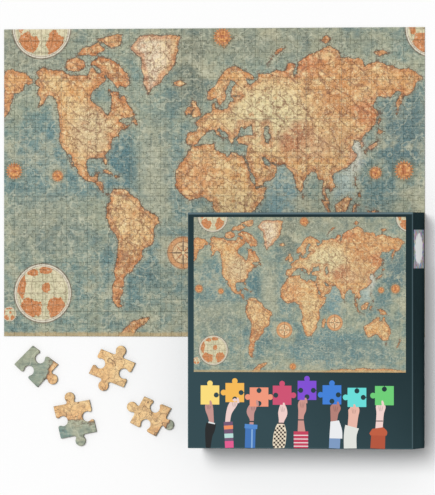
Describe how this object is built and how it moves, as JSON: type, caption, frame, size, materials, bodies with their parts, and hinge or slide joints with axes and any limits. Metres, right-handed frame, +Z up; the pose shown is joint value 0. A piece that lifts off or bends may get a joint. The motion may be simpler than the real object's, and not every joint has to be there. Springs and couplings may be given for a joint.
{
  "type": "boxed jigsaw puzzle",
  "caption": "Finished map jigsaw panel in interlocking sections, with its closed lid-and-tray box and loose knobbed pieces laid flat.",
  "frame": {"origin": "middle of the layout's footprint, on the surface that it lies on", "axes": "+X along the panel's width to the picture's right, +Y up the picture, +Z up out of the table"},
  "size_m": [0.7001, 0.679, 0.094],
  "materials": {
    "greyboard": "matte",
    "dark_wrap": "satin",
    "printed_wrap": "satin",
    "stay_paper": "matte",
    "sticker_paper": "satin",
    "poster_paper": "matte",
    "bag_film": "glossy",
    "zip_strip": "glossy",
    "puzzle_board": "satin",
    "loose_board": "satin"
  },
  "bodies": {
    "panel": {"section_3_3": "puzzle_board", "section_3_4": "puzzle_board", "section_3_5": "puzzle_board", "section_4_3": "puzzle_board", "section_4_4": "puzzle_board", "section_4_5": "puzzle_board", "section_5_3": "puzzle_board", "section_5_4": "puzzle_board", "section_5_5": "puzzle_board"},
    "box_tray": {"tray_board": "greyboard", "tray_wrap": "dark_wrap", "tray_corner_stays": "stay_paper"},
    "poster": {"reference_poster": "poster_paper"},
    "bag": {"piece_bag": "bag_film", "bag_zip": "zip_strip"},
    "box_lid": {"lid_board": "greyboard", "lid_wrap": "printed_wrap", "lid_corner_stays": "stay_paper", "side_sticker": "sticker_paper"},
    "loose_1": {"loose_piece_1": "loose_board"},
    "loose_2": {"loose_piece_2": "loose_board"},
    "loose_3": {"loose_piece_3": "loose_board"},
    "loose_4": {"loose_piece_4": "loose_board"},
    "section_1_1_body": {"section_1_1": "puzzle_board"},
    "section_1_2_body": {"section_1_2": "puzzle_board"},
    "section_1_3_body": {"section_1_3": "puzzle_board"},
    "section_1_4_body": {"section_1_4": "puzzle_board"},
    "section_1_5_body": {"section_1_5": "puzzle_board"},
    "section_2_1_body": {"section_2_1": "puzzle_board"},
    "section_2_2_body": {"section_2_2": "puzzle_board"},
    "section_2_3_body": {"section_2_3": "puzzle_board"},
    "section_2_4_body": {"section_2_4": "puzzle_board"},
    "section_2_5_body": {"section_2_5": "puzzle_board"},
    "section_3_1_body": {"section_3_1": "puzzle_board"},
    "section_3_2_body": {"section_3_2": "puzzle_board"},
    "section_4_1_body": {"section_4_1": "puzzle_board"},
    "section_4_2_body": {"section_4_2": "puzzle_board"},
    "section_5_1_body": {"section_5_1": "puzzle_board"},
    "section_5_2_body": {"section_5_2": "puzzle_board"}
  },
  "joints": [
    {"name": "box_lift", "type": "slide", "parent": "panel", "child": "box_tray", "axis": [0, 0, 1], "range_m": [0, 0.12]},
    {"name": "lid_lift", "type": "slide", "parent": "box_tray", "child": "box_lid", "axis": [0, 0, 1], "range_m": [0, 0.12]},
    {"name": "poster_lift", "type": "slide", "parent": "box_tray", "child": "poster", "axis": [0, 0, 1], "range_m": [0, 0.035]},
    {"name": "bag_lift", "type": "slide", "parent": "poster", "child": "bag", "axis": [0, 0, 1], "range_m": [0, 0.04]},
    {"name": "loose_1_lift", "type": "slide", "parent": "panel", "child": "loose_1", "axis": [0, 0, 1], "range_m": [0, 0.05]},
    {"name": "loose_2_lift", "type": "slide", "parent": "panel", "child": "loose_2", "axis": [0, 0, 1], "range_m": [0, 0.05]},
    {"name": "loose_3_lift", "type": "slide", "parent": "panel", "child": "loose_3", "axis": [0, 0, 1], "range_m": [0, 0.05]},
    {"name": "loose_4_lift", "type": "slide", "parent": "panel", "child": "loose_4", "axis": [0, 0, 1], "range_m": [0, 0.05]},
    {"name": "section_1_1_lift", "type": "slide", "parent": "panel", "child": "section_1_1_body", "axis": [0, 0, 1], "range_m": [0, 0.03]},
    {"name": "section_1_2_lift", "type": "slide", "parent": "panel", "child": "section_1_2_body", "axis": [0, 0, 1], "range_m": [0, 0.03]},
    {"name": "section_1_3_lift", "type": "slide", "parent": "panel", "child": "section_1_3_body", "axis": [0, 0, 1], "range_m": [0, 0.03]},
    {"name": "section_1_4_lift", "type": "slide", "parent": "panel", "child": "section_1_4_body", "axis": [0, 0, 1], "range_m": [0, 0.03]},
    {"name": "section_1_5_lift", "type": "slide", "parent": "panel", "child": "section_1_5_body", "axis": [0, 0, 1], "range_m": [0, 0.03]},
    {"name": "section_2_1_lift", "type": "slide", "parent": "panel", "child": "section_2_1_body", "axis": [0, 0, 1], "range_m": [0, 0.03]},
    {"name": "section_2_2_lift", "type": "slide", "parent": "panel", "child": "section_2_2_body", "axis": [0, 0, 1], "range_m": [0, 0.03]},
    {"name": "section_2_3_lift", "type": "slide", "parent": "panel", "child": "section_2_3_body", "axis": [0, 0, 1], "range_m": [0, 0.03]},
    {"name": "section_2_4_lift", "type": "slide", "parent": "panel", "child": "section_2_4_body", "axis": [0, 0, 1], "range_m": [0, 0.03]},
    {"name": "section_2_5_lift", "type": "slide", "parent": "panel", "child": "section_2_5_body", "axis": [0, 0, 1], "range_m": [0, 0.03]},
    {"name": "section_3_1_lift", "type": "slide", "parent": "panel", "child": "section_3_1_body", "axis": [0, 0, 1], "range_m": [0, 0.03]},
    {"name": "section_3_2_lift", "type": "slide", "parent": "panel", "child": "section_3_2_body", "axis": [0, 0, 1], "range_m": [0, 0.03]},
    {"name": "section_4_1_lift", "type": "slide", "parent": "panel", "child": "section_4_1_body", "axis": [0, 0, 1], "range_m": [0, 0.03]},
    {"name": "section_4_2_lift", "type": "slide", "parent": "panel", "child": "section_4_2_body", "axis": [0, 0, 1], "range_m": [0, 0.03]},
    {"name": "section_5_1_lift", "type": "slide", "parent": "panel", "child": "section_5_1_body", "axis": [0, 0, 1], "range_m": [0, 0.03]},
    {"name": "section_5_2_lift", "type": "slide", "parent": "panel", "child": "section_5_2_body", "axis": [0, 0, 1], "range_m": [0, 0.03]}
  ]
}
